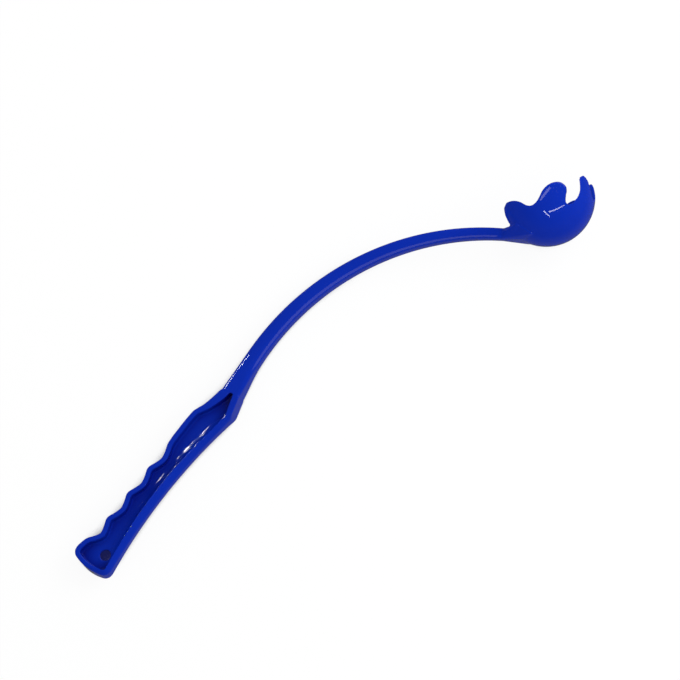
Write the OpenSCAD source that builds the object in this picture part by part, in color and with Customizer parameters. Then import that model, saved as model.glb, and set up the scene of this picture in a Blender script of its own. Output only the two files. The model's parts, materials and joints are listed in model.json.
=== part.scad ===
// Dog ball thrower: a one-piece moulding with a grooved grip, a curved arm and a clawed ball cup.
// It is drawn flat, with X along the grip from butt to cup, Y towards the fingers and Z across
// the grip, and is then laid down as it rests on a table, on the finger rim and one side claw.
// The centre of the hang hole is the origin. Left is the side that faces up at rest.

/* [Ball] */
// Diameter of the ball that the cup holds
ball_d = 65; // [55:0.5:75]
// Gap between the ball and the cup, on the radius
ball_gap = 0.5; // [0.2:0.1:1.5]

/* [Cup] */
// Thickness of the cup's wall
cup_wall = 3; // [2:0.25:4]
// Direction that the mouth faces, from the line of the grip
mouth_angle = 62; // [55:1:70]
// How far the claws reach past the middle of the ball
rim_rise = 0.25; // [0:0.25:3]
// Depth of the notch beside each front finger, below the middle of the ball
claw_notch_depth = 18.5; // [14:0.5:20]
// Width of the notch beside each front finger
claw_notch_w = 18; // [14:0.5:20]
// Depth of the slot between the front fingers
front_slot_depth = 16; // [13.5:0.5:20]
// Width of the slot between the front fingers, at the tips
front_slot_w = 20; // [16:0.5:22]
// Depth of the dip between the side and heel claws
side_dip_depth = 9.5; // [5:0.5:11]
// Width of the dip between the side and heel claws
side_dip_w = 34; // [28:0.5:36]
// Depth of the heel slot over the arm
heel_slot_depth = 13.5; // [12.5:0.5:16]
// Width of the heel slot over the arm, at the tips
heel_slot_w = 40; // [34:0.5:46]

/* [Arm] */
// Radius of the arm's bend, at its centre line
arm_bend_r = 196.5; // [170:0.5:260]
// Angle that the arm turns through from the neck to the cup
arm_sweep = 78.8; // [60:0.1:85]
// Angle at which the arm leaves the grip
arm_lead = 16.5; // [12:0.5:20]
// Thickness of the arm where it leaves the neck, in the plane of the bend
arm_root_t = 12; // [10:0.25:14]
// Width of the arm where it leaves the neck
arm_root_w = 16; // [13:0.5:20]
// Thickness of the arm at the cup
arm_end_t = 8; // [6:0.25:10]
// Width of the arm at the cup
arm_end_w = 14; // [11:0.5:18]

/* [Grip] */
// Length from the hang hole to the neck
grip_len = 150; // [142:1:180]
// Width of the grip across the hand
grip_w = 18; // [16:0.5:24]
// Thickness of the grip's rim
grip_wall = 3.7; // [3:0.1:4.2]
// Thickness of the web between the two recesses
web_t = 3; // [2:0.25:5]
// Spacing of the finger grooves
finger_pitch = 23.7; // [21:0.1:25]
// Depth of the finger grooves
groove_depth = 3.5; // [1.5:0.1:4]
// Depth of the hollow along the palm side
palm_hollow = 7; // [3:0.5:9]
// Diameter of the hang hole
hang_hole_d = 8; // [5:0.5:10]

/* [Hidden] */
$fn = 96;
plastic = "#1030ae";

// Vectors, curves and lofts

function unit(v) = v / norm(v);
function left_of(v) = [-v[1], v[0]];
function polar(r, a) = r * [cos(a), sin(a)];
function mix(a, b, t) = a + (b - a) * t;
function ease(t) = let (u = min(max(t, 0), 1)) u * u * (3 - 2 * u);

// Point on a smooth curve from b to c, where a and d are the knots before and after
function curve_point(a, b, c, d, t) =
    let (span = norm(c - b))
    let (leave = (c - a) * span / (norm(b - a) + span))
    let (arrive = (d - b) * span / (norm(d - c) + span))
    let (t2 = t * t)
    let (t3 = t2 * t)
    (2 * t3 - 3 * t2 + 1) * b + (t3 - 2 * t2 + t) * leave + (3 * t2 - 2 * t3) * c + (t3 - t2) * arrive;

// Smooth curve through a list of knots
function curve(knots, steps) =
    let (last = len(knots) - 1)
    [
        for (i = [0:last - 1], k = [0:steps - 1])
            curve_point(knots[max(i - 1, 0)], knots[i], knots[i + 1], knots[min(i + 2, last)], k / steps),
        knots[last]
    ];

// Rounded section with half sizes a and b, squarer as its power grows
function squircle(a, b, power) =
    let (count = 32)
    [
        for (k = [0:count - 1])
            let (c = cos(360 * k / count))
            let (s = sin(360 * k / count))
            [a * sign(c) * pow(abs(c), 2 / power), b * sign(s) * pow(abs(s), 2 / power)]
    ];

// Solid through a row of rings that all have the same number of points
module loft(rings) {
    count = len(rings[0]);
    last = len(rings) - 1;
    sides = [
        for (i = [0:last - 1], k = [0:count - 1])
            let (a = i * count + k)
            let (b = i * count + (k + 1) % count)
            each [[a, b + count, b], [a, a + count, b + count]]
    ];
    first_cap = [for (k = [0:count - 1]) k];
    last_cap = [for (k = [count - 1:-1:0]) last * count + k];
    polyhedron([for (ring = rings) each ring], concat([first_cap], sides, [last_cap]));
}

// Arm: an arc that leaves the neck at the lead angle and bends away from the fingers

neck_y = 4.9;
neck_rise = 9;
neck_drop = 5.8;
neck_span = 9;
neck_power = 7;
arm_power = 3;
arm_rings = 30;

neck_angle = 90 + arm_lead;
arm_centre = [grip_len, neck_y] - polar(arm_bend_r, neck_angle);
arm_root_angle = neck_angle - neck_span;

// Ring of the arm at an angle along its bend, from low to high across the thickness
function arm_ring(angle, low, high, w, power) = [
    for (p = squircle((high - low) / 2, w / 2, power))
        let (q = arm_centre + polar(arm_bend_r + (high + low) / 2 + p[0], angle))
        [q[0], q[1], p[1]]
];

// Cup: it sits on the arm so that the bowl's bottom meets the arm's underside

cup_sink = 0.2;
cup_in_r = ball_d / 2 + ball_gap;
cup_r = cup_in_r + cup_wall;
cup_angle = neck_angle - arm_sweep;
cup_reach = arm_bend_r + cup_r - arm_end_t / 2 - cup_sink;
cup_centre = arm_centre + polar(cup_reach, cup_angle);

// The saddle starts just before the arm's upper face meets the cup
arm_top_r = arm_bend_r + arm_end_t / 2;
arm_meets_cup = acos((cup_reach^2 + arm_top_r^2 - cup_r^2) / (2 * cup_reach * arm_top_r));
arm_end_angle = cup_angle + arm_meets_cup + 0.5;

// Claws: notches in the rim of a hemisphere, at angles round the mouth from the front

claw_notch_angle = 50;
side_dip_angle = 102;
claw_lap = 1.5;
claw_line = -max(claw_notch_depth, front_slot_depth, heel_slot_depth) - claw_lap;
over_rim = 6;
notch_steps = 4;

// Each notch is drawn as across and up, from the middle of the ball
claw_notch_knots = [
    for (p = [
        [-0.88, 0.10], [-0.68, -0.06], [-0.65, -0.24], [-0.58, -0.44], [-0.42, -0.68], [-0.20, -0.87],
        [0, -0.95], [0.20, -1], [0.34, -0.96], [0.37, -0.84], [0.31, -0.68], [0.25, -0.5], [0.21, -0.33],
        [0.27, -0.20], [0.42, -0.10], [0.62, -0.01], [0.85, 0.08]
    ])
    [p[0] * claw_notch_w, p[1] * claw_notch_depth]
];
front_slot_knots = [
    for (p = [
        [-0.80, 0.12], [-0.62, -0.02], [-0.50, -0.18], [-0.43, -0.5], [-0.27, -0.87], [0, -1],
        [0.27, -0.87], [0.43, -0.5], [0.50, -0.18], [0.62, -0.02], [0.80, 0.12]
    ])
    [p[0] * front_slot_w, p[1] * front_slot_depth]
];
heel_slot_knots = [
    for (p = [
        [-0.70, 0.16], [-0.57, 0.05], [-0.48, -0.16], [-0.41, -0.52], [-0.31, -0.86], [-0.2, -1],
        [0.2, -1], [0.31, -0.86], [0.41, -0.52], [0.48, -0.16], [0.57, 0.05], [0.70, 0.16]
    ])
    [p[0] * heel_slot_w, p[1] * heel_slot_depth]
];

function dip_edge(x) = mix(rim_rise, -side_dip_depth, (1 + cos(360 * x / side_dip_w)) / 2);
side_dip_points = [for (k = [-12:12]) let (x = side_dip_w * k / 24) [x, dip_edge(x)]];

// Grip: outline with the material on its left, from the butt along the palm and back by the fingers

half_w = grip_w / 2;
edge_r = 1.5;
neck_wall = 5;
thicken_from = 32;
thicken_over = 28;
path_steps = 4;
butt_steps = 2;
finger_count = 4;
groove_x = 9.8;
groove_y = 11.9;
groove_rise = 0.026;
rest_y = 18.9;
lobe_x = -8.5;
lobe_lap = 2.9;
lobe_r = grip_wall + lobe_lap;
butt_bulge = 1.7;
heel_lap = 2.6;
heel_r = grip_wall + heel_lap;
palm_x = -6.5;
palm_y = -12.1;
palm_steps = 24;

neck_dir = polar(1, neck_angle);
neck_top = arm_centre + (arm_bend_r + neck_rise) * neck_dir;
neck_low = arm_centre + (arm_bend_r - neck_drop) * neck_dir;
palm_corner = arm_centre + polar(arm_bend_r - neck_drop, neck_angle + 5.3);
bump_back = 28.5;
bump_x = grip_len - bump_back;

function groove_at(i) = groove_x + i * finger_pitch;
function groove_floor(x) = groove_y + groove_rise * (x - groove_x);
function groove_knot(i, u, rise) = let (x = groove_at(i + u)) [x, groove_floor(x) + rise * groove_depth];
function crest_at(i) = groove_knot(i, 0.49, 1);

// Shares of the way from the neck up to the bump, and from the first groove up to the lobe
shoulder_shares = [[0.39, 0.18], [0.67, 0.44], [0.84, 0.76]];
lobe_shares = [[0.26, 0.34], [0.51, 0.77], [0.78, 0.94]];
bump_crown = 0.5;

finger_knots = [
    neck_top,
    for (k = shoulder_shares) [mix(grip_len, bump_x, k[0]), mix(neck_top[1], rest_y, k[1])],
    [bump_x, rest_y],
    mix(crest_at(finger_count - 1), [bump_x, rest_y], 0.5) + [0, bump_crown],
    for (i = [finger_count - 1:-1:1])
        each [crest_at(i), groove_knot(i, 0.23, 0.38), groove_knot(i, 0, 0), groove_knot(i, -0.23, 0.38)],
    crest_at(0),
    groove_knot(0, 0.23, 0.38),
    groove_knot(0, 0, 0),
    for (k = lobe_shares) [mix(groove_x, lobe_x, k[0]), mix(groove_y, rest_y, k[1])],
    [lobe_x, rest_y]
];
palm_slope = atan2(palm_corner[1] - palm_y + 4 * palm_hollow, palm_corner[0] - palm_x);
lobe_centre = [lobe_x, rest_y - lobe_r];
heel_centre = [palm_x, palm_y] - polar(heel_r, 270 + palm_slope);
lobe_turn = [for (k = [0:3]) lobe_centre + polar(lobe_r, 90 + 25 * k)];
heel_turn = [for (k = [0:3]) heel_centre + polar(heel_r, mix(198, 270 + palm_slope, k / 3))];
butt_knots = [
    each lobe_turn,
    for (t = [0.2:0.2:0.8]) mix(lobe_turn[3], heel_turn[0], t) - [4 * butt_bulge * t * (1 - t), 0],
    each heel_turn
];
palm_points = [
    for (k = [0:palm_steps - 1])
        let (t = k / palm_steps)
        mix([palm_x, palm_y], palm_corner, t) + [0, 4 * palm_hollow * t * (1 - t)]
];

finger_path = curve(finger_knots, path_steps);
butt_path = curve(butt_knots, butt_steps);
palm_path = concat(palm_points, [palm_corner, mix(palm_corner, neck_low, 0.5), neck_low]);

// Directions into the grip, which neighbouring stretches of the rim share where they meet
function inward(before, after) = left_of(unit(after - before));
function from_end(path, i) = path[len(path) - 1 - i];
lobe_dir = inward(from_end(finger_path, 1), butt_path[1]);
heel_dir = inward(from_end(butt_path, 1), palm_path[1]);
function dirs(path, first, last, lean) = [
    first,
    for (i = [1:len(path) - 2]) unit(inward(path[i - 1], path[i + 1]) + lean),
    last
];

// Behind the grooves the wall leans towards the palm, so that its inner edge never folds at a crest
finger_dirs = dirs(finger_path, -neck_dir, lobe_dir, [0, -0.6]);
butt_dirs = dirs(butt_path, lobe_dir, heel_dir, [0, 0]);
palm_dirs = dirs(palm_path, heel_dir, neck_dir, [0, 0]);

// The rim thickens towards the neck
function wall_at(p) = mix(grip_wall, neck_wall, ease((p[0] - grip_len + thicken_from) / thicken_over));
function inner_edge(path, dir) = [for (i = [0:len(path) - 2]) path[i] + dir[i] * wall_at(path[i])];
recess = concat(
    inner_edge(palm_path, palm_dirs),
    [neck_low + neck_dir * wall_at(neck_low)],
    inner_edge(finger_path, finger_dirs),
    inner_edge(butt_path, butt_dirs)
);

// Section of the rim with rounded edges: depth into the grip, and place across it
function rim_corner(depth, side, start) =
    [for (k = [0:3]) [depth, side * (half_w - edge_r)] + polar(edge_r, start + 30 * k)];
function rim_section(wall) = concat(
    rim_corner(edge_r, -1, 180),
    rim_corner(wall - edge_r, -1, 270),
    rim_corner(wall - edge_r, 1, 0),
    rim_corner(edge_r, 1, 90)
);
function rim_ring(p, dir) = [
    for (s = rim_section(wall_at(p)))
        let (q = p + dir * s[0])
        [q[0], q[1], s[1]]
];

// Rest: the tilt at which the finger rim and the lower side claw touch the table together

mouth_turn = mouth_angle - 90;
claw_edge = [
    for (p = side_dip_points)
        let (out = sqrt(cup_r^2 - p[0]^2 - p[1]^2))
        let (q = polar(out, side_dip_angle) + polar(p[0], side_dip_angle + 90))
        [q[0] * sin(mouth_turn) + p[1] * cos(mouth_turn), q[1]]
];
function cup_depth(tilt) =
    cup_centre[1] * sin(tilt) + max([for (p = claw_edge) p[0] * sin(tilt) + p[1] * cos(tilt)]);
function grip_depth(tilt) = (rest_y - edge_r) * sin(tilt) + (half_w - edge_r) * cos(tilt) + edge_r;
function level(low, high, steps) =
    let (mid = (low + high) / 2)
    steps == 0 ? mid
    : grip_depth(mid) < cup_depth(mid) ? level(mid, high, steps - 1)
    : level(low, mid, steps - 1);
rest_tilt = level(0, 40, 24);

module laid() rotate([-rest_tilt, 0, 0]) color(plastic) children();

// Grip pieces

module rim(path, dir) loft([for (i = [0:len(path) - 1]) rim_ring(path[i], dir[i])]);

module grip_web() laid() {
    difference() {
        linear_extrude(web_t, center = true) polygon(recess);
        cylinder(h = 2 * web_t, d = hang_hole_d, center = true);
    }
}

module finger_rim() laid() rim(finger_path, finger_dirs);

module palm_rim() laid() rim(palm_path, palm_dirs);

module butt_rim() laid() rim(butt_path, butt_dirs);

// Arm pieces

module neck() laid() {
    steps = 8;
    loft([
        for (k = [0:steps])
            let (t = 1 - (1 - k / steps)^2)
            arm_ring(
                mix(neck_angle, arm_root_angle, k / steps),
                mix(-neck_drop, -arm_root_t / 2, t),
                mix(neck_rise, arm_root_t / 2, t),
                mix(grip_w, arm_root_w, t),
                mix(neck_power, arm_power, t)
            )
    ]);
}

function arm_end_ring(angle, w) = arm_ring(angle, -arm_end_t / 2, arm_end_t / 2, w, arm_power);

module arm() laid() {
    loft([
        for (k = [0:arm_rings])
            let (t = k / arm_rings)
            let (half_t = mix(arm_root_t, arm_end_t, t) / 2)
            let (w = mix(arm_root_w, arm_end_w, t))
            arm_ring(mix(arm_root_angle, arm_end_angle, t), -half_t, half_t, w, arm_power)
    ]);
}

// Cup pieces, drawn with the mouth along +Z, the front along +X and the right claws at +Y

module at_cup()
    translate([cup_centre[0], cup_centre[1], 0])
        rotate([0, 0, mouth_turn])
            rotate([-90, 0, 0])
                children();

module notch(angle, points) {
    left = points[0];
    right = points[len(points) - 1];
    top = rim_rise + over_rim;
    rotate([0, 0, angle])
        rotate([90, 0, 90])
            translate([0, 0, cup_r / 4])
                linear_extrude(cup_r)
                    polygon(concat(points, [[right[0], top], [left[0], top]]));
}

// Shell of the cup, up to a level across the mouth
module cup_shell(top) {
    difference() {
        sphere(cup_r);
        sphere(cup_in_r);
        translate([-cup_r, -cup_r, top]) cube(2 * cup_r);
    }
}

module cup_bowl() laid() at_cup() cup_shell(claw_line);

// One claw: the shell above the claw line between two angles round the mouth, less the notches given
module claw(first, last) {
    reach = 2 * cup_r;
    intersection() {
        difference() {
            cup_shell(rim_rise);
            children();
        }
        translate([0, 0, claw_line])
            linear_extrude(cup_r)
                polygon([[0, 0], polar(reach, first), polar(reach, (first + last) / 2), polar(reach, last)]);
    }
}

module front_slot() notch(0, curve(front_slot_knots, notch_steps));
module claw_notch() notch(claw_notch_angle, curve(claw_notch_knots, notch_steps));
module side_dip() notch(side_dip_angle, side_dip_points);
module heel_slot() notch(180, curve(heel_slot_knots, notch_steps));

module front_claw() claw(0, claw_notch_angle) {
    front_slot();
    claw_notch();
}

module side_claw() claw(claw_notch_angle, side_dip_angle) {
    claw_notch();
    side_dip();
}

module heel_claw() claw(side_dip_angle, 180) {
    side_dip();
    heel_slot();
}

module on_left() mirror([0, 1, 0]) children();

module both_sides() {
    children();
    on_left() children();
}

module heel_lobe_left() laid() at_cup() on_left() heel_claw();
module heel_lobe_right() laid() at_cup() heel_claw();
module side_lobe_left() laid() at_cup() on_left() side_claw();
module side_lobe_right() laid() at_cup() side_claw();
module front_finger_left() laid() at_cup() on_left() front_claw();
module front_finger_right() laid() at_cup() front_claw();

saddle_tip_r = 1.2;
saddle_bury = 0.2;
saddle_lift = 0.8;
saddle_flare = 8;
function under_ring(angle, w) = arm_ring(angle, saddle_lift - arm_end_t / 2, arm_end_t / 2, w, arm_power);

// The saddle fans out from the arm to two lines up the back of the cup
module cup_saddle() laid() {
    tip_depth = saddle_tip_r + saddle_bury;
    under_angle = cup_angle + 2.2;
    under_w = arm_end_w + saddle_flare;
    slice = 0.3;
    wings = [[131, -23], [123, -44]];
    difference() {
        hull() {
            loft([arm_end_ring(arm_end_angle, arm_end_w), arm_end_ring(arm_end_angle - slice, arm_end_w)]);
            loft([under_ring(under_angle + slice, under_w), under_ring(under_angle, under_w)]);
            at_cup() both_sides() for (w = wings)
                rotate([0, -w[1], w[0]]) translate([cup_r - tip_depth, 0, 0]) sphere(saddle_tip_r, $fn = 16);
        }
        at_cup() sphere(cup_r);
    }
}

grip_web();
finger_rim();
palm_rim();
butt_rim();
neck();
arm();
cup_saddle();
cup_bowl();
heel_lobe_left();
heel_lobe_right();
side_lobe_left();
side_lobe_right();
front_finger_left();
front_finger_right();
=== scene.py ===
# %% [markdown]
# # A ball thrower in blue plastic
# The thrower is one injection moulding: a grooved grip, a long curved arm and a clawed cup. Sizes
# and places follow the imported solids. These have crisp edges where a real moulding is rounded, so
# the forms are modelled again here, melted into one skin with soft corners, and then cut
# along the same lines as the solids, one piece for each of them.

# %% Load the frame
import json
import math

import bpy
from mathutils import Matrix, Vector

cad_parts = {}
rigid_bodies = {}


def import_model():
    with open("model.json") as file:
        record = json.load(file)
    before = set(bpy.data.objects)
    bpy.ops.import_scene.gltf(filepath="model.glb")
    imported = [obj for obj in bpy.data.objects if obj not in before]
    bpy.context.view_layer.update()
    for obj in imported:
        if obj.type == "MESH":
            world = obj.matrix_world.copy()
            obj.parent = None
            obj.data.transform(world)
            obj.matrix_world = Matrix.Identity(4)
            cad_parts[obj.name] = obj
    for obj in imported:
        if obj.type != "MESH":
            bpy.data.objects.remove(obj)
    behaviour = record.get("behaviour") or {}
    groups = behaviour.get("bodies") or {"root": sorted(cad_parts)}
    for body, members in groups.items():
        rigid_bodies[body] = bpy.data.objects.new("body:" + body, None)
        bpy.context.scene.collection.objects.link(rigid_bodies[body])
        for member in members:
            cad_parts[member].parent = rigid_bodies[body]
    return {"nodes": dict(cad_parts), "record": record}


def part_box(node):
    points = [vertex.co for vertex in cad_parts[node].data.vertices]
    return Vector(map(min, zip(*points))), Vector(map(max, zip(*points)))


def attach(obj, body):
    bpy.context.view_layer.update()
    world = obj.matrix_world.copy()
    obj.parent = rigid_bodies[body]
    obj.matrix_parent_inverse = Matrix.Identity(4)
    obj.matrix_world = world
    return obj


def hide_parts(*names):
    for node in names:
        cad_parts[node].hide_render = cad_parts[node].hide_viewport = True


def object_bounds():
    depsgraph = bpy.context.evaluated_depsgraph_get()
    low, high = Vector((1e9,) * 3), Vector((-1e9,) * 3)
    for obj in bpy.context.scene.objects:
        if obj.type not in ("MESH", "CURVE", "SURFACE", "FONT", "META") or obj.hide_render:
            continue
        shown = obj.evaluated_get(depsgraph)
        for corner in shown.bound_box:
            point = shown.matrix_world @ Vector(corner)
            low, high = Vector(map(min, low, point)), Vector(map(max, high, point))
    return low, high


for thing in list(bpy.data.objects):
    bpy.data.objects.remove(thing)
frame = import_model()
cad_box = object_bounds()
mounts = {m["name"]: m for m in frame["record"]["mounts"]}
hang_hole, ball_seat = mounts["hang_hole"], mounts["ball_seat"]
print("frame holds", len(frame["nodes"]), "solids, in a box from", cad_box[0][:], "to", cad_box[1][:])

# %% [markdown]
# ## Flat on the drawing board
# On a table the thrower leans sideways, because the cup is wider than the grip. It is easier to
# model it flat, with X along the grip, Y towards the fingers and Z across, and to lay it down
# at the end. The hang hole's axis in the record gives that lean.

# %% The lean, and lengths in millimetres
MM = 0.001
LEAN = math.atan2(hang_hole["axis"][1], hang_hole["axis"][2])


def mm(x, y, z=0.0):
    return Vector((x, y, z)) * MM


def polar(r, degrees):
    a = math.radians(degrees)
    return Vector((r * math.cos(a), r * math.sin(a), 0))


print("lean", round(math.degrees(LEAN), 2), "degrees")

# %% [markdown]
# ## Hands and tools
# An operator works on whatever is selected. So each step first clears the selection, picks one
# piece and goes into edit mode. These helpers do what a modeller's hands do: pick a piece, apply
# a modifier, trace an outline vertex by vertex, pull a face out into a block, and put it in place.


# %% Pick, edit and apply
def pick(piece):
    if bpy.context.mode != "OBJECT":
        bpy.ops.object.mode_set(mode="OBJECT")
    bpy.ops.object.select_all(action="DESELECT")
    piece.select_set(True)
    bpy.context.view_layer.objects.active = piece


def edit(piece, select="SELECT"):
    pick(piece)
    bpy.ops.object.mode_set(mode="EDIT")
    bpy.ops.mesh.select_all(action=select)


def leave():
    bpy.ops.object.mode_set(mode="OBJECT")


def apply(piece, kind, **settings):
    pick(piece)
    tool = piece.modifiers.new(kind.lower(), kind)
    for key, value in settings.items():
        setattr(tool, key, value)
    bpy.ops.object.modifier_apply(modifier=tool.name)


def count(piece):
    return f"{piece.name}: {len(piece.data.vertices)} vertices, {len(piece.data.polygons)} faces"


# %% Trace, pull and place
def trace(name, points):
    """A flat face whose outline is traced from point to point."""
    bpy.ops.object.select_all(action="DESELECT")
    bpy.ops.mesh.primitive_plane_add(size=MM)
    piece = bpy.context.object
    piece.name = name
    edit(piece)
    bpy.ops.mesh.merge(type="CENTER")
    bpy.ops.transform.translate(value=points[0])
    for here, there in zip(points, points[1:]):
        bpy.ops.mesh.extrude_vertices_move(TRANSFORM_OT_translate={"value": there - here})
    bpy.ops.mesh.select_all(action="SELECT")
    bpy.ops.mesh.edge_face_add()
    leave()
    return piece


def pull(piece, way):
    """Pulls a traced face out into a closed block."""
    edit(piece)
    bpy.ops.mesh.extrude_region_move(TRANSFORM_OT_translate={"value": way})
    bpy.ops.mesh.select_all(action="SELECT")
    bpy.ops.mesh.normals_make_consistent(inside=False)
    leave()


def place(piece, location=(0, 0, 0), turn=(0, 0, 0)):
    """Puts a finished shape in its place, and leaves the place in its mesh."""
    pick(piece)
    piece.rotation_euler = turn
    piece.location = location
    bpy.ops.object.transform_apply(location=True, rotation=True, scale=True)


# %% [markdown]
# ## The arm's arc
# The arm is an arc of a large circle. It leaves the neck at a slight angle to the grip and bends
# away from the fingers. Angles on that circle divide it: the palm side's corner, the neck, the
# root of the arm, and the end of the arm, just before the cup.

# %% Arc values
ARM_R = 196.5 * MM
NECK, ROOT, END = 106.5, 97.5, 34.33
PALM_CORNER = NECK + 5.3
NECK_RISE, NECK_DROP = 9.0 * MM, 5.8 * MM
neck_middle = mm(150, 4.9)
arm_centre = neck_middle - polar(ARM_R, NECK)
neck_top = arm_centre + polar(ARM_R + NECK_RISE, NECK)
neck_low = arm_centre + polar(ARM_R - NECK_DROP, NECK)
palm_corner = arm_centre + polar(ARM_R - NECK_DROP, PALM_CORNER)
print("arc centre", [round(c / MM, 1) for c in arm_centre])

# %% [markdown]
# ## Grip outline
# The grip is a flat bar with four finger grooves on one edge, a long shallow hollow for the palm
# on the other and a flared, rounded butt. Its outline could be cut from a box with cylinders, but
# the grooves run into each other in soft waves. So it is traced: the grooves repeat from one
# small pattern, and the points between are filled in on a smooth curve.


# %% A smooth curve through knots
def smooth_line(knots, steps):
    """Points on a smooth curve, with so many steps from each knot to the next."""
    line = []
    for i in range(len(knots) - 1):
        a, b = knots[max(i - 1, 0)], knots[i]
        c, d = knots[i + 1], knots[min(i + 2, len(knots) - 1)]
        span = (c - b).length
        leave_b = (c - a) * span / ((b - a).length + span)
        reach_c = (d - b) * span / ((d - c).length + span)
        for k in range(steps):
            t = k / steps
            line.append(
                (2 * t**3 - 3 * t**2 + 1) * b + (t**3 - 2 * t**2 + t) * leave_b
                + (3 * t**2 - 2 * t**3) * c + (t**3 - t**2) * reach_c
            )
    return line + [knots[-1]]


# %% Finger edge and butt
PITCH, GROOVE, FIRST_X, FIRST_Y, RISE = 23.7, 3.5, 9.8, 11.9, 0.026
GROOVE_WAVE = ((0.49, 1), (0.23, 0.38), (0, 0), (-0.23, 0.38))
FINGER_STEPS, BUTT_STEPS = 4, 3


def groove(number, share, rise):
    x = FIRST_X + (number + share) * PITCH
    return mm(x, FIRST_Y + RISE * (x - FIRST_X) + rise * GROOVE)


bump_knots = [mm(138.9, 14.5), mm(130.9, 15.9), mm(126.1, 17.6), mm(121.5, 18.9), mm(107, 18.7)]
groove_knots = [groove(number, *spot) for number in (3, 2, 1, 0) for spot in GROOVE_WAVE]
lobe_knots = [mm(5, 14.3), mm(0.5, 17.3), mm(-4.5, 18.5), mm(-8.5, 18.9)]
palm_start = mm(-6.5, -12.1)
butt_knots = [
    lobe_knots[-1], mm(-11.3, 18.3), mm(-13.6, 16.5), mm(-14.9, 14), mm(-16, 7.5), mm(-16, 1),
    mm(-14.9, -4.6), mm(-13.6, -8.6), mm(-12.3, -10.5), mm(-9.6, -12), palm_start,
]
finger_edge = smooth_line([neck_top] + bump_knots + groove_knots[:-1] + lobe_knots, FINGER_STEPS)
butt_edge = smooth_line(butt_knots, BUTT_STEPS)
print("finger edge points:", len(finger_edge), "butt points:", len(butt_edge))

# %% Palm edge
PALM_HOLLOW, PALM_STEPS = 5.5 * MM, 20
palm_arch = [4 * k / PALM_STEPS * (1 - k / PALM_STEPS) for k in range(PALM_STEPS)]
palm_edge = [
    palm_start.lerp(palm_corner, k / PALM_STEPS) + Vector((0, PALM_HOLLOW * arch, 0))
    for k, arch in enumerate(palm_arch)
]
palm_edge += [palm_corner, palm_corner.lerp(neck_low, 0.5), neck_low]
print("palm edge points:", len(palm_edge))

# %% Grip block
GRIP_W = 18.0 * MM
grip = trace("grip_block", finger_edge[:-1] + butt_edge[:-1] + palm_edge)
place(grip, (0, 0, -GRIP_W / 2))
pull(grip, (0, 0, GRIP_W))
print(count(grip))

# %% [markdown]
# ## Slope the palm side
# The long hollow edge lies in the palm, so its corners are taken off in broad, slightly crowned
# slopes, while the rest of the outline has only the small radius of the mould. A bevel of even
# width would stop with a step at both ends. A bevel weight on each edge lets the width grow and
# fade out instead.

# %% Weighted bevel
SAME_SPOT, SAME_LEVEL = 0.05 * MM, 0.1 * MM


def share_at(point, shares):
    return next((share for spot, share in shares if (spot.xy - point.xy).length < SAME_SPOT), 0)


def weighted_bevel(piece, shares, high, **settings):
    """Bevels the edges at one height above and below the mid-plane, each by its share of the width."""
    weights = piece.data.attributes.new("bevel_weight_edge", "FLOAT", "EDGE")
    for edge in piece.data.edges:
        ends = [piece.data.vertices[i].co for i in edge.vertices]
        level = all(abs(abs(end.z) - high) < SAME_LEVEL for end in ends)
        if level and ends[0].z * ends[1].z > 0:
            weights.data[edge.index].value = sum(share_at(end, shares) for end in ends) / 2
    apply(piece, "BEVEL", limit_method="WEIGHT", use_clamp_overlap=False, **settings)


# %% Slopes that grow from the butt and fade out at the neck
PALM_SLOPE, PALM_CROWN, RUN_IN = 6.6 * MM, 0.33, 2.5
BUTT_SHARE, BUTT_POINTS, BUTT_FADE = 0.6, 3, 10 * MM
slopes = []
for k, arch in enumerate(palm_arch):
    least = BUTT_SHARE if k < BUTT_POINTS else 0
    slopes.append((palm_edge[k], min(1, max(RUN_IN * arch, least))))
slopes += [(spot, BUTT_SHARE * min(1, -spot.y / BUTT_FADE)) for spot in butt_edge[:-1] if spot.y < 0]
weighted_bevel(grip, slopes, GRIP_W / 2, width=PALM_SLOPE, segments=6, profile=PALM_CROWN)
print(count(grip))

# %% [markdown]
# ## Recesses
# A moulder never leaves a grip solid, because thick plastic sinks as it cools. So both sides are
# hollowed down to a thin web, and a wall of even thickness follows the outline. Inset would make
# that wall, but it folds over itself at the crests between the grooves. So the inner line is
# stepped in from the outline, leaning towards the palm behind the grooves.

# %% Inner line of the wall
WALL, FINGER_NECK_WALL, PALM_NECK_WALL = 3.7 * MM, 7.0 * MM, 5.0 * MM
THICKEN_FROM, THICKEN_OVER, PALM_SWELL = 118 * MM, 32 * MM, 1.5 * MM
GROOVE_LEAN, NOSE = 0.6, 0.8 * MM


def wall_at(point, neck_wall):
    t = min(max((point.x - THICKEN_FROM) / THICKEN_OVER, 0), 1)
    return WALL + (neck_wall - WALL) * t * t * (3 - 2 * t)


def step_in(edge, neck_wall=WALL, lean=0.0, swell=()):
    line = []
    for i, (before, point, after) in enumerate(zip(edge, edge[1:], edge[2:])):
        along = (after - before).normalized()
        inward = (Vector((-along.y, along.x, 0)) + Vector((0, -lean, 0))).normalized()
        more = PALM_SWELL * swell[i + 1] if i + 1 < len(swell) else 0
        line.append(point + inward * (wall_at(point, neck_wall) + more))
    return line


neck_way, beyond_neck = polar(1, NECK), polar(NOSE, NECK - 90)
palm_line = step_in(palm_edge, PALM_NECK_WALL, swell=palm_arch)
recess_line = step_in(finger_edge, FINGER_NECK_WALL, lean=GROOVE_LEAN) + step_in(butt_edge) + palm_line
tip_low, tip_top = neck_low + neck_way * PALM_NECK_WALL, neck_top - neck_way * FINGER_NECK_WALL
recess_line += [tip_low, tip_low.lerp(tip_top, 0.5) + beyond_neck, tip_top]
print("recess points:", len(recess_line))

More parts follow.
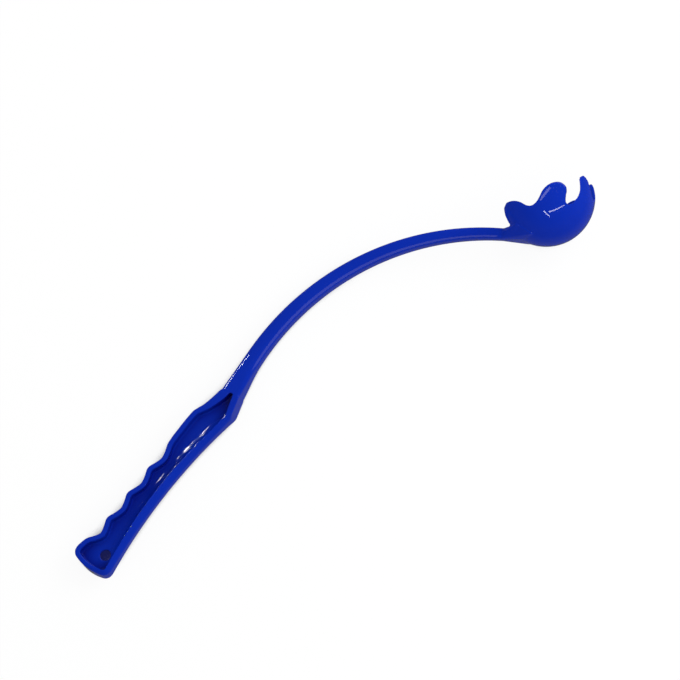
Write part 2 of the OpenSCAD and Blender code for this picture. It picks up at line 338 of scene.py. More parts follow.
# %% [markdown]
# ## Scooped floor
# On the palm side the floor of each recess sweeps up into the wall in one wide curve, so that the
# plastic flows and the steel lets go. The same weighted bevel, on the foot of the block that cuts
# the recess, leaves that curve behind. It fades out towards the narrow tip at the neck.


# %% Hollow both sides
def cut(piece, tool, operation="DIFFERENCE", keep=False):
    apply(piece, "BOOLEAN", object=tool, operation=operation, solver="MANIFOLD")
    if not keep:
        bpy.data.objects.remove(tool)


WEB = hang_hole["dims"]["length_mm"] * MM
SCOOP, SCOOP_LEAST = 6.0 * MM, 0.5
scoop_arch = palm_arch[1:] + [0, 0]
scoops = [(spot, max(SCOOP_LEAST, min(1, RUN_IN * arch))) for spot, arch in zip(palm_line, scoop_arch)]
for side in (1, -1):
    hollow = trace("hollow", recess_line)
    place(hollow, (0, 0, side * WEB / 2))
    pull(hollow, (0, 0, side * GRIP_W))
    weighted_bevel(hollow, scoops, WEB / 2, width=SCOOP, segments=10)
    cut(grip, hollow)
print(count(grip))

# %% Drill the hang hole
HOLE_R = hang_hole["dims"]["r_mm"] * MM
bpy.ops.object.select_all(action="DESELECT")
bpy.ops.mesh.primitive_cylinder_add(vertices=48, radius=HOLE_R, depth=2 * WEB)
cut(grip, bpy.context.object)
print(count(grip))

# %% [markdown]
# ## Arm
# The arm is a bar with a rounded rectangular section that gets slimmer towards the cup. Its inner
# corners are the rounder ones, so a broad flank shows from above. Spin sweeps a section round a
# centre, as a lathe would, so one rounded rectangle makes the whole arc. Then each ring of the
# sweep is scaled down a little more than the one before.

# %% Section of the arm
ARM_T, ARM_W, END_T, END_W = 12.0 * MM, 16.0 * MM, 8.0 * MM, 14.0 * MM
ARM_CORNERS = (3.4 * MM, 5.5 * MM)


def section(name, thick, wide, corners, middle, degrees):
    """A rectangle across the arc, with its outer and its inner corners rounded."""
    bpy.ops.object.select_all(action="DESELECT")
    bpy.ops.mesh.primitive_plane_add(size=1)
    piece = bpy.context.object
    piece.name = name
    piece.scale = (thick, wide, 1)
    bpy.ops.object.transform_apply(scale=True)
    for side, corner in zip((1, -1), corners):
        edit(piece, "DESELECT")
        leave()
        for v in piece.data.vertices:
            v.select = v.co.x * side > thick / 2 - SAME_SPOT
        bpy.ops.object.mode_set(mode="EDIT")
        bpy.ops.mesh.bevel(affect="VERTICES", offset=corner, segments=6)
        leave()
    place(piece, turn=(math.radians(90), 0, 0))
    place(piece, arm_centre + polar(middle, degrees), (0, 0, math.radians(degrees)))
    return piece


arm = section("arm_sweep", ARM_T, ARM_W, ARM_CORNERS, ARM_R, ROOT)
print(count(arm))

# %% Sweep the arm and slim it
RUN_ON, ARM_STEPS, SAME_RING = 1.5, 42, 0.1
ARM_SWEEP = ROOT - END + RUN_ON
edit(arm)
bpy.ops.mesh.spin(steps=ARM_STEPS, angle=math.radians(ARM_SWEEP), center=arm_centre, axis=(0, 0, 1))
leave()


def angle_of(point):
    return math.degrees(math.atan2(point.y - arm_centre.y, point.x - arm_centre.x))


for ring in range(ARM_STEPS + 1):
    share = ring / ARM_STEPS
    degrees = ROOT - share * ARM_SWEEP
    edit(arm, "DESELECT")
    leave()
    for v in arm.data.vertices:
        v.select = abs(angle_of(v.co) - degrees) < SAME_RING
    bpy.ops.object.mode_set(mode="EDIT")
    slim_t, slim_w = 1 + (END_T / ARM_T - 1) * share, 1 + (END_W / ARM_W - 1) * share
    ring_middle = arm_centre + polar(ARM_R, degrees)
    bpy.ops.transform.rotate(value=math.radians(degrees), orient_axis="Z", center_override=ring_middle)
    bpy.ops.transform.resize(value=(slim_t, 1, slim_w), center_override=ring_middle)
    bpy.ops.transform.rotate(value=math.radians(-degrees), orient_axis="Z", center_override=ring_middle)
    leave()
print(count(arm))

# %% [markdown]
# ## Neck
# Between the grip and the arm the section turns from a square-edged block into a rounder, slimmer
# bar. Two loops with the same number of points can be bridged, and the bridge is told to leave the
# arm in line with its surface, so that no crease shows at the root.

# %% Open the root, with a loop at the neck
NECK_CORNERS = (3.0 * MM, 2.2 * MM)
neck_r = ARM_R + (NECK_RISE - NECK_DROP) / 2
neck = section("neck_loop", NECK_RISE + NECK_DROP, GRIP_W, NECK_CORNERS, neck_r, NECK)
pick(arm)
neck.select_set(True)
bpy.ops.object.join()
edit(arm, "DESELECT")
leave()
ends = [face for face in arm.data.polygons if len(face.vertices) > 4 and angle_of(face.center) > ROOT - 1]
for face in ends:
    face.select = True
bpy.ops.object.mode_set(mode="EDIT")
bpy.ops.mesh.select_mode(type="FACE")
bpy.ops.mesh.delete(type="ONLY_FACE")
print("faces taken off the root and the neck:", len(ends))

# %% Bridge the neck to the arm, and close its end
bpy.ops.mesh.select_mode(type="EDGE")
bpy.ops.mesh.select_all(action="DESELECT")
bpy.ops.mesh.select_non_manifold(extend=False, use_wire=True, use_boundary=True)
bpy.ops.mesh.bridge_edge_loops(number_cuts=7, interpolation="SURFACE", smoothness=0.9)
bpy.ops.mesh.select_all(action="DESELECT")
bpy.ops.mesh.select_non_manifold(extend=False, use_wire=True, use_boundary=True)
bpy.ops.mesh.edge_face_add()
bpy.ops.mesh.select_mode(type="VERT")
bpy.ops.mesh.select_all(action="SELECT")
bpy.ops.mesh.normals_make_consistent(inside=False)
leave()
print(count(arm))

# %% [markdown]
# ## Cup
# The cup holds a ball of 65 mm by a little more than half of it. A sphere is cut off at the mouth,
# and Solidify gives it a wall. Then the mouth is notched into claws, so that it can spring open.
# The mould opens sideways, so one wavy outline, traced as seen from the side and pulled right
# through, makes both rows of claws. A slot at the tip and a wide one at the heel then part the
# two rows.

# %% Shell
CUP_WALL, RIM, MOUTH = 3.0 * MM, 1.0 * MM, 62.0
CUP_R = ball_seat["dims"]["r_mm"] * MM + CUP_WALL
cup_at = Vector(ball_seat["pos_m"])
cup_centre = Vector((cup_at.x, math.hypot(cup_at.y, cup_at.z) * (1 if cup_at.y > 0 else -1), 0))
bpy.ops.object.select_all(action="DESELECT")
bpy.ops.mesh.primitive_uv_sphere_add(segments=128, ring_count=64, radius=CUP_R)
cup = bpy.context.object
cup.name = "cup_shell"
edit(cup)
bpy.ops.mesh.bisect(plane_co=(0, 0, RIM), plane_no=(0, 0, 1), clear_outer=True)
leave()
apply(cup, "SOLIDIFY", thickness=CUP_WALL, offset=-1)
print(count(cup), "centre", [round(c / MM, 2) for c in cup_centre])

# %% Outlines in millimetres: forward and up for the claws, across and up for the slots
claw_wave = [
    (-26.2, 1.3), (-20, -1), (-15.5, -4.5), (-12, -8.8), (-8.5, -10.5), (-4.5, -9.7), (-0.5, -7),
    (3, -3.8), (7.5, -1.5), (12.5, -0.7), (17, -1.9), (19.5, -5.5), (18.8, -9), (16.3, -13.4),
    (15.2, -16.7), (16.5, -18.7), (21, -17.2), (25.8, -12.8), (28.4, -7.5), (29.5, -2.7),
    (30.8, -0.2), (34, 1.6),
]
front_slot = [(-15.4, 1.9), (-11, -1.5), (-9.1, -6.3), (-7.7, -10), (-5, -14)]
front_slot_floor = [(0, -16)]
heel_slot = [(-26, 1.5), (-20.6, -0.3), (-17.4, -4.6), (-14.4, -11.2), (-12, -14), (-8, -15.5)]


def both_halves(half, floor=()):
    return half + list(floor) + [(-x, y) for x, y in reversed(half)]


REACH, SLOT_FROM, SLOT_LONG = 40, 9, 36
front_whole, heel_whole = both_halves(front_slot, front_slot_floor), both_halves(heel_slot)
cuts = [
    ("claw_wave", [mm(x, -REACH, z) for x, z in claw_wave], mm(0, 2 * REACH)),
    ("front_slot", [mm(SLOT_FROM, y, z) for y, z in front_whole], mm(SLOT_LONG, 0)),
    ("heel_slot", [mm(-SLOT_FROM, y, z) for y, z in heel_whole], mm(-SLOT_LONG, 0)),
]
print("knots:", [len(knots) for _, knots, _ in cuts])

# %% Cut the claws
SKY, CLAW_STEPS = 6.5 * MM, 6
for name, knots, way in cuts:
    line = smooth_line(knots, CLAW_STEPS)
    line += [Vector((end.x, end.y, SKY)) for end in (line[-1], line[0])]
    tool = trace(name, line)
    pull(tool, way)
    cut(cup, tool)
print(count(cup))

# %% Seat the cup on the arm
place(cup, turn=(math.radians(-90), 0, 0))
place(cup, cup_centre, (0, 0, math.radians(MOUTH - 90)))
print("cup is turned", MOUTH - 90, "degrees from the grip")

# %% [markdown]
# ## Saddle
# The arm doesn't just run into the cup: it fans out into a small triangular gusset on each side,
# which spreads the pull of a throw up the back of the cup. A convex hull over the arm's end, a
# flat tongue under the bowl and two lines up the cup makes the gusset in one step, and a ball
# cuts out its seat.

# %% Arm's end, tongue and wings
front_way, mouth_way, right_way = polar(1, MOUTH - 90), polar(1, MOUTH), Vector((0, 0, -1))


def on_cup(azimuth, elevation, radius):
    flat, up = math.radians(azimuth), math.radians(elevation)
    out = math.cos(up) * (math.cos(flat) * front_way + math.sin(flat) * right_way)
    return cup_centre + radius * (out + math.sin(up) * mouth_way)


SADDLE_FROM, SADDLE_CORNERS = END + 0.4, (2.6 * MM, 3.7 * MM)
TONGUE_AT, TONGUE_T, TONGUE_W, TONGUE_LIFT = 29.9, 7.2 * MM, 22 * MM, 0.4 * MM
TONGUE_CORNERS = (2.8 * MM, 2.8 * MM)
WINGS = ((138.5, -25.4), (131.7, -46.1), (-131.7, -46.1), (-138.5, -25.4))
WING_PROUD = 1.2 * MM
saddle = section("saddle_hull", END_T, END_W, SADDLE_CORNERS, ARM_R, SADDLE_FROM)
tongue = section("tongue", TONGUE_T, TONGUE_W, TONGUE_CORNERS, ARM_R + TONGUE_LIFT, TONGUE_AT)
wings = trace("wings", [on_cup(a, e, CUP_R + WING_PROUD) for a, e in WINGS])
print(count(saddle), count(tongue), count(wings))

# %% Hull between the arm and the cup
pick(saddle)
tongue.select_set(True)
wings.select_set(True)
bpy.ops.object.join()
edit(saddle)
bpy.ops.mesh.delete(type="EDGE_FACE")
bpy.ops.mesh.select_all(action="SELECT")
bpy.ops.mesh.convex_hull(use_existing_faces=False)
bpy.ops.mesh.select_all(action="SELECT")
bpy.ops.mesh.normals_make_consistent(inside=False)
leave()
SEAT_R = CUP_R - CUP_WALL / 2
bpy.ops.object.select_all(action="DESELECT")
bpy.ops.mesh.primitive_uv_sphere_add(segments=96, ring_count=48, radius=SEAT_R, location=cup_centre)
cut(saddle, bpy.context.object)
print(count(saddle))

# %% [markdown]
# ## One moulding
# In the mould all of this is one flow of plastic, with small fillets in every corner. Bevelling
# each edge by hand would leave the joints between the forms sharp. Joining the forms and remeshing
# them in fine voxels makes one skin of them, and a light smoothing then rounds all edges by about
# a millimetre.

# %% Melt the forms together
VOXEL, SOFTENING = 0.55 * MM, 7
pick(grip)
for form in (arm, cup, saddle):
    form.select_set(True)
bpy.ops.object.join()
moulding = bpy.context.object
moulding.name = "moulding"
apply(moulding, "REMESH", mode="VOXEL", voxel_size=VOXEL)
apply(moulding, "SMOOTH", factor=0.5, iterations=SOFTENING)
print(count(moulding))

# %% [markdown]
# ## Cut it where the solids meet
# The part is an assembly of named pieces, so the skin is cut along the lines where the solids
# meet. Both sides of a cut keep the same surface, so the cuts don't show. The cup comes off with
# a ball a hair larger than itself, the web with a block, and everything else with flat cuts.


# %% Cutting helpers
def copy_of(piece, name):
    pick(piece)
    bpy.ops.object.duplicate()
    twin = bpy.context.object
    twin.name = name
    return twin


def slice_off(piece, point, way):
    """Cuts a piece flat through a point, and keeps the side that way points to."""
    edit(piece)
    bpy.ops.mesh.bisect(plane_co=point, plane_no=way, use_fill=True, clear_inner=True)
    leave()
    return piece


def round_arc(degrees):
    """The way along the arc towards the grip."""
    return polar(1, degrees + 90)


# %% Cup, saddle, arm and neck
HAIR, TIP = 0.3 * MM, NECK + 0.9
bpy.ops.object.select_all(action="DESELECT")
bpy.ops.mesh.primitive_uv_sphere_add(segments=192, ring_count=96, radius=CUP_R + HAIR, location=cup_centre)
ball = bpy.context.object
place(ball, ball.location)
cup = copy_of(moulding, "cup")
cut(cup, ball, "INTERSECT", keep=True)
cut(moulding, ball)
pieces = {}
pieces["cup_saddle"] = slice_off(copy_of(moulding, "moulded_cup_saddle"), arm_centre, -round_arc(END))
arm = slice_off(copy_of(moulding, "moulded_arm"), arm_centre, round_arc(END))
pieces["arm"] = slice_off(arm, arm_centre, -round_arc(ROOT))
neck = slice_off(copy_of(moulding, "moulded_neck"), arm_centre, round_arc(ROOT))
pieces["neck"] = slice_off(neck, arm_centre, -round_arc(TIP))
rims = slice_off(moulding, arm_centre, round_arc(TIP))
print([count(piece) for piece in pieces.values()])

# %% Claws and bowl
CLAW_LINE = -20.0 * MM
CLAWS = (("front_finger", 0, 50), ("side_lobe", 50, 102), ("heel_lobe", 102, 180))
claw_floor = cup_centre + CLAW_LINE * mouth_way


def round_mouth(azimuth):
    a = math.radians(azimuth)
    return -math.sin(a) * front_way + math.cos(a) * right_way


pieces["cup_bowl"] = slice_off(copy_of(cup, "moulded_cup_bowl"), claw_floor, -mouth_way)
slice_off(cup, claw_floor, mouth_way)
for claw, first, last in CLAWS:
    for side, hand in (("right", 1), ("left", -1)):
        node = claw + "_" + side
        piece = slice_off(copy_of(cup, "moulded_" + node), cup_centre, hand * round_mouth(hand * first))
        pieces[node] = slice_off(piece, cup_centre, -hand * round_mouth(hand * last))
bpy.data.objects.remove(cup)
print([count(piece) for piece in pieces.values()])

# %% Web
WEB_KEEP, FILLET = 0.6 * MM, 0.8 * MM


def step_out(line, by):
    out = []
    for before, point, after in zip(line[-1:] + line, line, line[1:] + line[:1]):
        along = (after - before).normalized()
        out.append(point + Vector((along.y, -along.x, 0)) * by)
    return out


web_block = trace("web_block", step_out(recess_line, WEB_KEEP))
place(web_block, (0, 0, -WEB / 2 - FILLET))
pull(web_block, (0, 0, WEB + 2 * FILLET))
web = copy_of(rims, "moulded_grip_web")
cut(web, web_block, "INTERSECT", keep=True)
pieces["grip_web"] = web
cut(rims, web_block)
print(count(web))

# %% Rims
BUTT_X = -7.5 * MM
butt = slice_off(copy_of(rims, "moulded_butt_rim"), (BUTT_X, 0, 0), (-1, 0, 0))
pieces["butt_rim"] = butt
slice_off(rims, (BUTT_X, 0, 0), (1, 0, 0))
pick(rims)
bpy.ops.object.mode_set(mode="EDIT")
bpy.ops.mesh.separate(type="LOOSE")
leave()
walls = sorted(bpy.context.selected_objects, key=lambda o: len(o.data.vertices))[-2:]
walls.sort(key=lambda o: sum(v.co.y for v in o.data.vertices) / len(o.data.vertices))
for node, wall in zip(("palm_rim", "finger_rim"), walls):
    wall.name = "moulded_" + node
    pieces[node] = wall
print(sorted(pieces), "loose:", len(bpy.context.selected_objects))

# %% [markdown]
# ## Lay it down
# The flat model is now turned about the grip's axis until it lies as it does on a table. Each
# piece takes the place of its solid, rides on the same body and keeps its place in its own mesh.

# %% Turn, smooth and hand over
CREASE = math.radians(42)
for node, piece in pieces.items():
    place(piece, turn=(-LEAN, 0, 0))
    bpy.ops.object.shade_smooth_by_angle(angle=CREASE)
    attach(piece, "root")
    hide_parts(node)
    low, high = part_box(node)
    mine = [[f(v.co[i] for v in piece.data.vertices) for i in range(3)] for f in (min, max)]
    off = [round((mine[j][i] - (low, high)[j][i]) / MM, 1) for j in range(2) for i in range(3)]
    print(count(piece), "box off by", off)

# %% [markdown]
# ## Moulded skin
# Real mouldings have faint clouds in the dye, a skin that is a little rougher in some places, and
# a slight waviness where the plastic sank as it cooled. Three noises on Object coordinates give
# the three effects. They sit in a node group, so that another finish can use them with its own
# values.

# %% Sockets of the group
skin = bpy.data.node_groups.new("moulded_skin", "ShaderNodeTree")
for name, kind, default in (
    ("Light Blue", "NodeSocketColor", (0.012, 0.045, 0.5, 1)),
    ("Deep Blue", "NodeSocketColor", (0.004, 0.022, 0.36, 1)),
    ("Gloss", "NodeSocketFloat", 0.2),
    ("Sink", "NodeSocketFloat", 1.0),
):
    socket = skin.interface.new_socket(name, in_out="INPUT", socket_type=kind)
    socket.default_value = default
for name, kind in (
    ("Color", "NodeSocketColor"),
    ("Roughness", "NodeSocketFloat"),
    ("Height", "NodeSocketFloat"),
):
    skin.interface.new_socket(name, in_out="OUTPUT", socket_type=kind)
print("group", skin.name, "with", len(skin.interface.items_tree), "sockets")


# %% Noises for clouds, haze and sink marks
def node_of(tree, kind, **inputs):
    made = tree.nodes.new(kind)
    for key, value in inputs.items():
        made.inputs[key.replace("_", " ")].default_value = value
    return made


where = skin.nodes.new("ShaderNodeTexCoord")
clouds = node_of(skin, "ShaderNodeTexNoise", Scale=22.0, Detail=4.0, Roughness=0.6)
haze = node_of(skin, "ShaderNodeTexNoise", Scale=160.0, Detail=5.0, Roughness=0.65)
sink = node_of(skin, "ShaderNodeTexNoise", Scale=38.0, Detail=1.0)
for noise in (clouds, haze, sink):
    skin.links.new(where.outputs["Object"], noise.inputs["Vector"])
print("noise scales:", [noise.inputs["Scale"].default_value for noise in (clouds, haze, sink)])

# %% From the noises to colour, roughness and height
HAZE = 0.05
enter, out = skin.nodes.new("NodeGroupInput"), skin.nodes.new("NodeGroupOutput")
dye = skin.nodes.new("ShaderNodeMix")
dye.data_type = "RGBA"
skin.links.new(clouds.outputs["Fac"], dye.inputs["Factor"])
skin.links.new(enter.outputs["Deep Blue"], dye.inputs["A"])
skin.links.new(enter.outputs["Light Blue"], dye.inputs["B"])
dull = skin.nodes.new("ShaderNodeMath")
dull.operation = "MULTIPLY_ADD"
skin.links.new(haze.outputs["Fac"], dull.inputs[0])
dull.inputs[1].default_value = HAZE
skin.links.new(enter.outputs["Gloss"], dull.inputs[2])
wave = skin.nodes.new("ShaderNodeMath")
wave.operation = "MULTIPLY"
skin.links.new(sink.outputs["Fac"], wave.inputs[0])
skin.links.new(enter.outputs["Sink"], wave.inputs[1])
skin.links.new(dye.outputs["Result"], out.inputs["Color"])
skin.links.new(dull.outputs["Value"], out.inputs["Roughness"])
skin.links.new(wave.outputs["Value"], out.inputs["Height"])
print("group", skin.name, "with", len(skin.nodes), "nodes")

# %% [markdown]
# ## Blue plastic
# The plastic is a deep blue, dyed right through, with a high gloss from the polished mould. A flat
# colour would look like paint on a screen. Ambient Occlusion, which measures how open a spot is, paints
# shade into the colour in hollows, and roughens the tightest corners, where polish never reaches.


# %% The plastic
def plastic(name, light, deep, hollow, gloss, sink_depth):
    made = bpy.data.materials.new(name)
    made.use_nodes = True
    tree = made.node_tree
    shader = tree.nodes["Principled BSDF"]
    shader.inputs["IOR"].default_value = 1.5
    surface = tree.nodes.new("ShaderNodeGroup")
    surface.node_tree = skin
    surface.inputs["Light Blue"].default_value = (*light, 1)
    surface.inputs["Deep Blue"].default_value = (*deep, 1)
    surface.inputs["Gloss"].default_value = gloss
    surface.inputs["Sink"].default_value = sink_depth
    # Painted shade: where Ambient Occlusion finds a hollow, the base colour is darkened towards the hollow
    # colour
    open_sky = node_of(tree, "ShaderNodeAmbientOcclusion", Distance=0.012)
    unshaded_share = node_of(tree, "ShaderNodeMapRange", From_Min=0.3, From_Max=0.85)
    unpolished = node_of(tree, "ShaderNodeMapRange", From_Min=0.36, From_Max=0.5, To_Min=0.25, To_Max=0.0)
    rough = tree.nodes.new("ShaderNodeMath")
    tone = tree.nodes.new("ShaderNodeMix")
    tone.data_type = "RGBA"
    tone.inputs["A"].default_value = (*hollow, 1)
    bump = node_of(tree, "ShaderNodeBump", Strength=0.3, Distance=0.0006)
    tree.links.new(surface.outputs["Color"], tone.inputs["B"])
    tree.links.new(open_sky.outputs["AO"], unshaded_share.inputs["Value"])
    tree.links.new(unshaded_share.outputs["Result"], tone.inputs["Factor"])
    tree.links.new(tone.outputs["Result"], shader.inputs["Base Color"])
    tree.links.new(open_sky.outputs["AO"], unpolished.inputs["Value"])
    tree.links.new(surface.outputs["Roughness"], rough.inputs[0])
    tree.links.new(unpolished.outputs["Result"], rough.inputs[1])
    tree.links.new(rough.outputs["Value"], shader.inputs["Roughness"])
    tree.links.new(surface.outputs["Height"], bump.inputs["Height"])
    tree.links.new(bump.outputs["Normal"], shader.inputs["Normal"])
    return made


# %% Blue on every piece
blue = plastic(
    "blue_gloss",
    light=(0.004, 0.029, 0.43),
    deep=(0.003, 0.020, 0.35),
    # the colour of the painted shade in hollows
    hollow=(0.001, 0.002, 0.20),
    gloss=0.015,
    sink_depth=1.0,
)
for piece in pieces.values():
    piece.data.materials.clear()
    piece.data.materials.append(blue)
print("material", blue.name, "on", len(pieces), "pieces")

# %% [markdown]
# ## Camera
# The camera looks down on the table from far away, so it sees no perspective: an orthographic view
# does the same. It is tilted by a few degrees from the vertical, and turned so that the grip runs
# up to the right. The width of the view follows from its scale, in millimetres to a pixel.

# %% Camera
MM_PER_PIXEL, IMAGE_SIZE, CAMERA_FAR = 0.7317, 680, 1.5
PHI, EPS = math.radians(49.4), math.radians(3.0)
middle = Vector((0.2314, -0.0273, 0))
image_right = Vector((math.cos(PHI), -math.sin(PHI), 0))
table_up = Vector((math.sin(PHI), math.cos(PHI), 0))
to_camera = Vector((0, 0, 1)) * math.cos(EPS) - table_up * math.sin(EPS)
camera_up = table_up * math.cos(EPS) + Vector((0, 0, 1)) * math.sin(EPS)
scene = bpy.context.scene
camera_data = bpy.data.cameras.new("camera")
camera_data.type = "ORTHO"
camera_data.ortho_scale = MM_PER_PIXEL * MM * IMAGE_SIZE
camera = bpy.data.objects.new("camera", camera_data)
scene.collection.objects.link(camera)
camera.location = middle + CAMERA_FAR * to_camera
camera.rotation_euler = Matrix((image_right, camera_up, to_camera)).transposed().to_euler()
scene.camera = camera
scene.view_settings.view_transform = "Standard"
print("the view is", round(camera_data.ortho_scale, 3), "m wide")

# %% [markdown]
# ## White paper
# The thrower lies on white paper. In this even light a plain sheet would look pale grey, so to the
# camera it glows, and Ambient Occlusion darkens the glow where the thrower shades it. In a glossy
# skin a white sheet would also lay a pale veil over the blue. So reflections see it dim, and a
# little brighter close by, where it pales the flanks.

# %% Floor, and the shade on it
bpy.ops.object.select_all(action="DESELECT")
bpy.ops.mesh.primitive_plane_add(size=6, location=(0.2, 0, cad_box[0].z))
floor = bpy.context.object
floor.name = "paper_floor"
paper = bpy.data.materials.new("white_paper")
paper.use_nodes = True
floor.data.materials.append(paper)
tree = paper.node_tree
shade = node_of(tree, "ShaderNodeAmbientOcclusion", Distance=0.05)
dark = tree.nodes.new("ShaderNodeValToRGB")
dark.color_ramp.elements[0].color = (0.01, 0.012, 0.085, 1)
dark.color_ramp.elements[0].position = 0.36
dark.color_ramp.elements[1].position = 0.55
tree.links.new(shade.outputs["AO"], dark.inputs["Fac"])
print("floor at", round(floor.location.z / MM, 2), "mm")

# %% Paper as lamps and reflections see it
sheet = tree.nodes["Principled BSDF"]
sheet.inputs["Roughness"].default_value = 0.9
sheet.inputs["Specular IOR Level"].default_value = 0.0
ray = tree.nodes.new("ShaderNodeLightPath")
tone = tree.nodes.new("ShaderNodeMix")
tone.data_type = "RGBA"
tone.inputs["B"].default_value = (0.02, 0.02, 0.02, 1)
tree.links.new(ray.outputs["Is Glossy Ray"], tone.inputs["Factor"])
tree.links.new(dark.outputs["Color"], tone.inputs["A"])
tree.links.new(tone.outputs["Result"], sheet.inputs["Base Color"])
near = node_of(tree, "ShaderNodeMapRange", From_Min=0.02, From_Max=0.16, To_Min=0.13, To_Max=0.03)
mirrored, mirrored_glow = tree.nodes.new("ShaderNodeMath"), tree.nodes.new("ShaderNodeMath")
mirrored_glow.operation = "MULTIPLY"
tree.links.new(ray.outputs["Ray Length"], near.inputs["Value"])
tree.links.new(ray.outputs["Is Glossy Ray"], mirrored.inputs[0])
tree.links.new(ray.outputs["Is Transmission Ray"], mirrored.inputs[1])
tree.links.new(mirrored.outputs["Value"], mirrored_glow.inputs[0])
tree.links.new(near.outputs["Result"], mirrored_glow.inputs[1])
print("paper glows in reflections up to", near.inputs["To Min"].default_value)

# %% Paper as the camera sees it
CAMERA_GLOW = 0.92
glow = tree.nodes.new("ShaderNodeEmission")
glow_share = tree.nodes.new("ShaderNodeMath")
glow_share.operation = "MULTIPLY_ADD"
glow_share.inputs[1].default_value = CAMERA_GLOW
mix = tree.nodes.new("ShaderNodeMixShader")
tree.links.new(dark.outputs["Color"], glow.inputs["Color"])
tree.links.new(ray.outputs["Is Camera Ray"], glow_share.inputs[0])
tree.links.new(mirrored_glow.outputs["Value"], glow_share.inputs[2])
tree.links.new(glow_share.outputs["Value"], mix.inputs["Fac"])
tree.links.new(sheet.outputs["BSDF"], mix.inputs[1])
tree.links.new(glow.outputs["Emission"], mix.inputs[2])
tree.links.new(mix.outputs["Shader"], tree.nodes["Material Output"].inputs["Surface"])
print("material", paper.name, "with", len(tree.nodes), "nodes")

# %% [markdown]
# ## Surroundings
# Soft, even light from all round shows the colour as it is. What the gloss mirrors is another
# matter: bright surroundings would veil the blue, so reflections see a dim room with a darker
# ceiling. The camera sees a white backdrop.

# %% What reflections see
world = bpy.data.worlds.new("studio")
scene.world = world
world.use_nodes = True
tree = world.node_tree
dim_room = tree.nodes["Background"]
way = tree.nodes.new("ShaderNodeTexCoord")
parts = tree.nodes.new("ShaderNodeSeparateXYZ")
ramp = tree.nodes.new("ShaderNodeValToRGB")
ramp.color_ramp.elements[0].position = 0.05
ramp.color_ramp.elements[0].color = (0.06, 0.06, 0.06, 1)
ramp.color_ramp.elements[1].position = 0.5
ramp.color_ramp.elements[1].color = (0.02, 0.02, 0.02, 1)
tree.links.new(way.outputs["Generated"], parts.inputs["Vector"])
tree.links.new(parts.outputs["Z"], ramp.inputs["Fac"])
tree.links.new(ramp.outputs["Color"], dim_room.inputs["Color"])
print("walls and ceiling:", [round(stop.color[0], 3) for stop in ramp.color_ramp.elements])

# %% What lights the plastic, and what the camera sees
even_light = node_of(tree, "ShaderNodeBackground", Color=(1, 1, 1, 1), Strength=0.75)
backdrop = node_of(tree, "ShaderNodeBackground", Color=(1, 1, 1, 1))
ray = tree.nodes.new("ShaderNodeLightPath")
lit, seen = tree.nodes.new("ShaderNodeMixShader"), tree.nodes.new("ShaderNodeMixShader")
tree.links.new(ray.outputs["Is Diffuse Ray"], lit.inputs["Fac"])
tree.links.new(dim_room.outputs["Background"], lit.inputs[1])
tree.links.new(even_light.outputs["Background"], lit.inputs[2])
tree.links.new(ray.outputs["Is Camera Ray"], seen.inputs["Fac"])
tree.links.new(lit.outputs["Shader"], seen.inputs[1])
tree.links.new(backdrop.outputs["Background"], seen.inputs[2])
tree.links.new(seen.outputs["Shader"], tree.nodes["World Output"].inputs["Surface"])
print("world", world.name, "with", len(tree.nodes), "nodes")

# %% [markdown]
# ## Lamps
# One large, soft lamp gives the shapes their shading. The bright lines and dashes on a glossy
# moulding are mirror images of narrow lamps. So tubes, panels and a row of rods are hung round the
# table, and they show only as reflections. A photographer would set up black flags to keep a lamp
# off a form. In Blender, light linking does that.


# %% A lamp over the table
def over_table(right, up, high):
    return middle + right * image_right + up * table_up + Vector((0, 0, high))


def strip(name, start, end, wide, power):
    """A lamp from one point over the table to another, turned to the thrower."""
    start, end = over_table(*start), over_table(*end)
    light = bpy.data.lights.new(name, "AREA")
    light.shape = "RECTANGLE"
    light.size, light.size_y = (end - start).length, wide
    light.energy = power
    made = bpy.data.objects.new(name, light)
    scene.collection.objects.link(made)
    made.location = (start + end) / 2
    along = (end - start).normalized()
    out = (made.location - middle).normalized()
    across = out.cross(along).normalized()
    made.rotation_euler = Matrix((along, across, along.cross(across))).transposed().to_euler()
    return made


fill = strip("window_fill", (0.6, 0.9, 1.1), (1.4, 0.1, 1.1), 1.0, 13)
fill.visible_glossy = False
print("soft lamp at", [round(c, 2) for c in fill.location])


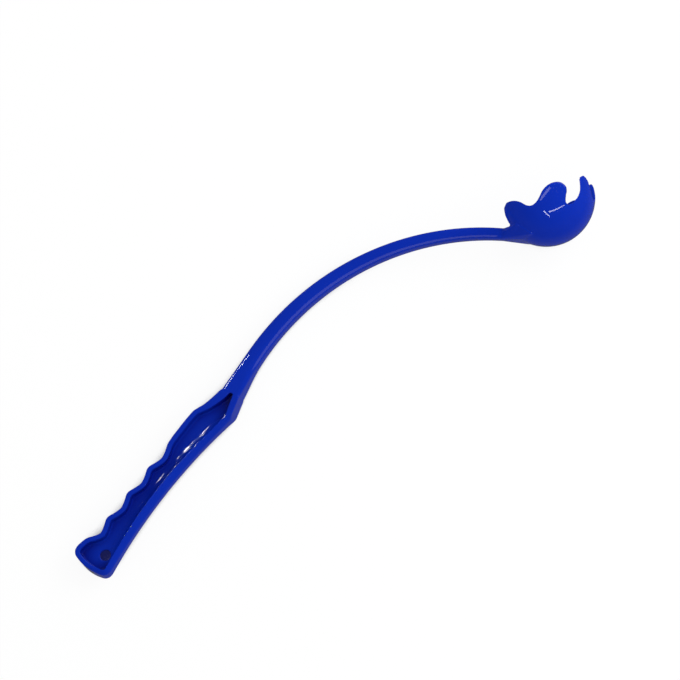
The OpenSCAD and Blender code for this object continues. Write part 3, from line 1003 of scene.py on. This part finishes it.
# %% Tubes, rods and panels that show only as reflections
def highlight(name, start, end, wide, power):
    made = strip(name, start, end, wide, power)
    made.visible_diffuse = False
    return made


tubes = [
    highlight("long_tube", (0.33, -0.99, 1.5), (1.64, -0.55, 1.5), 0.08, 3.2),
    highlight("short_tube", (-0.04, -0.89, 1.5), (0.45, -1.57, 1.5), 0.08, 2.6),
    highlight("soft_panel", (-0.24, -0.1, 1.5), (0.4, 0.69, 1.5), 0.15, 1.2),
]
ROW_RIGHT, ROW_UP, STEP_RIGHT, STEP_UP = -1.059, 0.913, -0.0253, -0.0268
ROD_LOW, ROD_HIGH, ROD_WIDE, ROD_POWER = 0.25, 1.15, 0.008, 1.5
rods = []
for k, place_in_row in enumerate((-0.6, 0.9, 2.1, 2.7, 3.3)):
    right, up = ROW_RIGHT + place_in_row * STEP_RIGHT, ROW_UP + place_in_row * STEP_UP
    rods.append(highlight(f"rod_{k}", (right, up, ROD_LOW), (right, up, ROD_HIGH), ROD_WIDE, ROD_POWER))
highlight("sky_panel", (1.9, 0.9, 0.85), (0.1, 2.1, 0.85), 0.9, 6)
low_panel = highlight("low_panel", (1.6, -0.6, 0.65), (-0.5, -1.5, 0.65), 1.2, 6.5)
hidden = [lamp.name for lamp in scene.objects if lamp.type == "LIGHT" and not lamp.visible_diffuse]
print("lamps that show only as reflections:", hidden)


# %% Flags
def flag(name, lamps, lit_nodes):
    """Keeps lamps off all pieces but some."""
    group = bpy.data.collections.new(name)
    for node in lit_nodes:
        group.objects.link(pieces[node])
    for lamp in lamps:
        lamp.light_linking.receiver_collection = group


grip_and_arm = {"grip_web", "finger_rim", "palm_rim", "butt_rim", "neck", "arm"}
flag("lit_by_tubes", tubes, sorted(pieces.keys() - grip_and_arm))
flag("lit_by_near_rods", rods[:2], ("grip_web", "palm_rim", "neck"))
flag("lit_by_far_rods", rods[2:], ("grip_web", "palm_rim"))
flag("lit_by_low_panel", [low_panel], ("neck", "arm", "cup_saddle"))
print("flags:", [group.name for group in bpy.data.collections if group.name.startswith("lit_by")])
